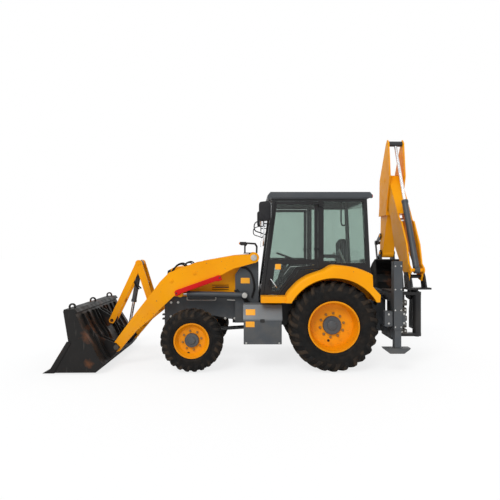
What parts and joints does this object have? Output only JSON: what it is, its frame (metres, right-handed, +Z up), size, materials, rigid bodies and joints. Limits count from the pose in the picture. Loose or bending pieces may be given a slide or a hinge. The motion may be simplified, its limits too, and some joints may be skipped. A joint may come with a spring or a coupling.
{
  "type": "backhoe loader",
  "caption": "Side-shift backhoe loader: four-wheel tractor with cab, front loader bucket on twin arms, slide stabilisers and a folded rear digging arm.",
  "frame": {"origin": "on the ground under the middle of the machine's length and width", "axes": "+Z up, -X towards the loader bucket (front), -Y to the machine's left side"},
  "size_m": [6.1373, 2.324, 3.9442],
  "materials": {
    "yellow_paint": "semi-gloss orange-yellow enamel, lightly dusty",
    "dark_paint": "satin dark grey enamel",
    "black_paint": "satin black paint, worn to rust at the edges of the buckets",
    "red_paint": "semi-gloss red enamel",
    "chrome_rod": "ground hard chrome",
    "tyre_rubber": "matt black rubber with dust in the tread",
    "cab_glass": "green-grey tinted safety glass",
    "seat_fabric": "black woven seat fabric",
    "black_plastic": "grained black plastic"
  },
  "bodies": {
    "root": {"chassis_frame": "dark_paint", "power_unit": "dark_paint", "drive_shafts": "dark_paint", "front_axle": "dark_paint", "rear_axle": "dark_paint", "hood": "yellow_paint", "front_grille": "black_paint", "loader_towers": "dark_paint", "loader_pins": "chrome_rod", "fenders": "yellow_paint", "cab_walls": "black_paint", "cab_roof": "black_paint", "cab_floor": "black_paint", "cab_glass": "cab_glass", "seat": "seat_fabric", "steering_column": "black_plastic", "side_boxes": "dark_paint", "rear_frame": "dark_paint", "mirrors": "black_plastic", "turn_lamps": "black_paint"},
    "door_left": {"door_left": "black_paint", "door_glass_left": "cab_glass"},
    "door_right": {"door_right": "black_paint", "door_glass_right": "cab_glass"},
    "steering_left": {"front_knuckle_left": "dark_paint"},
    "steering_right": {"front_knuckle_right": "dark_paint"},
    "wheel_front_left": {"front_tyre_left": "tyre_rubber", "front_wheel_left": "yellow_paint"},
    "wheel_front_right": {"front_tyre_right": "tyre_rubber", "front_wheel_right": "yellow_paint"},
    "wheel_rear_left": {"rear_tyre_left": "tyre_rubber", "rear_wheel_left": "yellow_paint"},
    "wheel_rear_right": {"rear_tyre_right": "tyre_rubber", "rear_wheel_right": "yellow_paint"},
    "arms": {"loader_arms": "yellow_paint", "safety_strut": "red_paint"},
    "lift_barrels": {"lift_barrels": "dark_paint"},
    "lift_rods": {"lift_rods": "chrome_rod"},
    "loader_lever": {"loader_lever": "yellow_paint"},
    "loader_link": {"loader_link": "yellow_paint"},
    "tilt_barrel": {"tilt_barrel": "dark_paint"},
    "tilt_rod": {"tilt_rod": "chrome_rod"},
    "bucket": {"loader_bucket": "black_paint"},
    "stabiliser_left": {"stabiliser_left": "dark_paint"},
    "stabiliser_right": {"stabiliser_right": "dark_paint"},
    "carriage": {"backhoe_carriage": "dark_paint"},
    "kingpost": {"kingpost": "black_paint"},
    "boom": {"boom": "yellow_paint"},
    "boom_ram_barrel": {"boom_ram_barrel": "dark_paint"},
    "boom_ram_rod": {"boom_ram_rod": "chrome_rod"},
    "dipper": {"dipper": "yellow_paint"},
    "dipper_ram_barrel": {"dipper_ram_barrel": "dark_paint"},
    "dipper_ram_rod": {"dipper_ram_rod": "chrome_rod"},
    "tip_lever": {"tip_lever": "black_paint"},
    "tip_link": {"tip_link": "yellow_paint"},
    "tip_ram_barrel": {"tip_ram_barrel": "dark_paint"},
    "tip_ram_rod": {"tip_ram_rod": "chrome_rod"},
    "hoe_bucket": {"hoe_bucket": "black_paint"}
  },
  "joints": [
    {"name": "door_left_swing", "type": "hinge", "parent": "root", "child": "door_left", "pos_m": [1.24, -0.83, 1.9], "axis": [0, 0, 1], "range_deg": [0, 85]},
    {"name": "door_right_swing", "type": "hinge", "parent": "root", "child": "door_right", "pos_m": [1.24, 0.83, 1.9], "axis": [0, 0, -1], "range_deg": [0, 85]},
    {"name": "steering", "type": "hinge", "parent": "root", "child": "steering_left", "pos_m": [-0.792, -0.7, 0.495], "axis": [0, 0, 1], "range_deg": [-40, 40]},
    {"name": "steering_far", "type": "hinge", "parent": "root", "child": "steering_right", "pos_m": [-0.792, 0.7, 0.495], "axis": [0, 0, 1], "range_deg": [-41, 41]},
    {"name": "wheel_front_left_roll", "type": "hinge", "parent": "steering_left", "child": "wheel_front_left", "pos_m": [-0.792, -0.96, 0.495], "axis": [0, 1, 0], "continuous": true},
    {"name": "wheel_front_right_roll", "type": "hinge", "parent": "steering_right", "child": "wheel_front_right", "pos_m": [-0.792, 0.96, 0.495], "axis": [0, 1, 0], "continuous": true},
    {"name": "wheel_rear_left_roll", "type": "hinge", "parent": "root", "child": "wheel_rear_left", "pos_m": [1.427, -0.905, 0.711], "axis": [0, 1, 0], "continuous": true},
    {"name": "wheel_rear_right_roll", "type": "hinge", "parent": "root", "child": "wheel_rear_right", "pos_m": [1.427, 0.905, 0.711], "axis": [0, 1, 0], "continuous": true},
    {"name": "loader_lift", "type": "hinge", "parent": "root", "child": "arms", "pos_m": [0.182, 0, 1.784], "axis": [0, 1, 0], "range_deg": [0, 66]},
    {"name": "lift_ram_swing", "type": "hinge", "parent": "root", "child": "lift_barrels", "pos_m": [0.032, 0, 1.166], "axis": [0, 1, 0], "range_deg": [-1, 62]},
    {"name": "lift_ram_slide", "type": "slide", "parent": "lift_barrels", "child": "lift_rods", "axis": [-0.9997, 0, 0.0226], "range_m": [-0.005, 0.6706]},
    {"name": "bucket_tilt", "type": "hinge", "parent": "arms", "child": "bucket", "pos_m": [-2.07, 0, 0.32], "axis": [0, 1, 0], "range_deg": [-95, 35]},
    {"name": "tilt_lever_swing", "type": "hinge", "parent": "arms", "child": "loader_lever", "pos_m": [-1.615, 0, 1.02], "axis": [0, 1, 0], "range_deg": [-75, 40]},
    {"name": "tilt_link_swing", "type": "hinge", "parent": "loader_lever", "child": "loader_link", "pos_m": [-1.825, 0, 1.676], "axis": [0, 1, 0], "range_deg": [-60, 90]},
    {"name": "tilt_ram_swing", "type": "hinge", "parent": "loader_lever", "child": "tilt_barrel", "pos_m": [-1.825, 0, 1.676], "axis": [0, 1, 0], "range_deg": [-60, 60]},
    {"name": "tilt_ram_slide", "type": "slide", "parent": "tilt_barrel", "child": "tilt_rod", "axis": [-0.1717, 0, -0.9851], "range_m": [-0.6, 0.2]},
    {"name": "stabiliser_left_slide", "type": "slide", "parent": "root", "child": "stabiliser_left", "axis": [0, 0, 1], "range_m": [-0.45, 0]},
    {"name": "stabiliser_right_slide", "type": "slide", "parent": "root", "child": "stabiliser_right", "axis": [0, 0, 1], "range_m": [-0.45, 0]},
    {"name": "side_shift", "type": "slide", "parent": "root", "child": "carriage", "axis": [0, 1, 0], "range_m": [0, 1.3]},
    {"name": "slew", "type": "hinge", "parent": "carriage", "child": "kingpost", "pos_m": [2.845, -0.69, 0.87], "axis": [0, 0, 1], "range_deg": [-184.4, 0]},
    {"name": "boom_lift", "type": "hinge", "parent": "kingpost", "child": "boom", "pos_m": [2.84116, -0.59007, 1.475], "axis": [0.9993, 0.0384, 0], "range_deg": [-100, 0]},
    {"name": "boom_ram_swing", "type": "hinge", "parent": "kingpost", "child": "boom_ram_barrel", "pos_m": [2.8354, -0.44018, 1.16], "axis": [0.9993, 0.0384, 0], "range_deg": [-110, 5]},
    {"name": "boom_ram_slide", "type": "slide", "parent": "boom_ram_barrel", "child": "boom_ram_rod", "axis": [-0.0133, 0.3468, 0.9378], "range_m": [-0.6, 0.01]},
    {"name": "dipper_swing", "type": "hinge", "parent": "boom", "child": "dipper", "pos_m": [2.79932, 0.49912, 3.21], "axis": [-0.9993, -0.0384, 0], "range_deg": [-110, 0]},
    {"name": "dipper_ram_swing", "type": "hinge", "parent": "boom", "child": "dipper_ram_barrel", "pos_m": [2.845, -0.69, 1.58], "axis": [-0.9993, -0.0384, 0], "range_deg": [-15, 15]},
    {"name": "dipper_ram_slide", "type": "slide", "parent": "dipper_ram_barrel", "child": "dipper_ram_rod", "axis": [-0.016, 0.4165, 0.909], "range_m": [-1.25, 0.01]},
    {"name": "hoe_bucket_tilt", "type": "hinge", "parent": "dipper", "child": "hoe_bucket", "pos_m": [2.78665, 0.82888, 1.85], "axis": [-0.9993, -0.0384, 0], "range_deg": [-110, 30]},
    {"name": "tip_lever_swing", "type": "hinge", "parent": "dipper", "child": "tip_lever", "pos_m": [2.7859, 0.84847, 2.1867], "axis": [-0.9993, -0.0384, 0], "range_deg": [-100, 40]},
    {"name": "tip_link_swing", "type": "hinge", "parent": "tip_lever", "child": "tip_link", "pos_m": [2.77761, 1.06411, 2.0533], "axis": [-0.9993, -0.0384, 0], "range_deg": [-60, 110]},
    {"name": "tip_ram_swing", "type": "hinge", "parent": "dipper", "child": "tip_ram_barrel", "pos_m": [2.78416, 0.89383, 3], "axis": [-0.9993, -0.0384, 0], "range_deg": [-15, 15]},
    {"name": "tip_ram_slide", "type": "slide", "parent": "tip_ram_barrel", "child": "tip_ram_rod", "axis": [-0.0068, 0.177, -0.9842], "range_m": [-0.4, 0.15]}
  ],
  "couplings": [
    {"joint": "steering_far", "follows": "steering", "ratio": 1},
    {"joint": "lift_ram_swing", "follows": "loader_lift", "ratio": 0.87684},
    {"joint": "lift_ram_slide", "follows": "loader_lift", "m_per_rad": 0.57779},
    {"joint": "tilt_lever_swing", "follows": "bucket_tilt", "ratio": 0.6801},
    {"joint": "tilt_link_swing", "follows": "bucket_tilt", "ratio": -0.5011},
    {"joint": "tilt_ram_swing", "follows": "bucket_tilt", "ratio": -0.3305},
    {"joint": "tilt_ram_slide", "follows": "bucket_tilt", "m_per_rad": 0.26356},
    {"joint": "boom_ram_swing", "follows": "boom_lift", "ratio": 1.0374},
    {"joint": "boom_ram_slide", "follows": "boom_lift", "m_per_rad": 0.30371},
    {"joint": "dipper_ram_swing", "follows": "dipper_swing", "ratio": -0.01142},
    {"joint": "dipper_ram_slide", "follows": "dipper_swing", "m_per_rad": 0.57533},
    {"joint": "tip_lever_swing", "follows": "hoe_bucket_tilt", "ratio": 0.6692},
    {"joint": "tip_link_swing", "follows": "hoe_bucket_tilt", "ratio": -0.6897},
    {"joint": "tip_ram_swing", "follows": "hoe_bucket_tilt", "ratio": 0.0555},
    {"joint": "tip_ram_slide", "follows": "hoe_bucket_tilt", "m_per_rad": 0.14992}
  ]
}
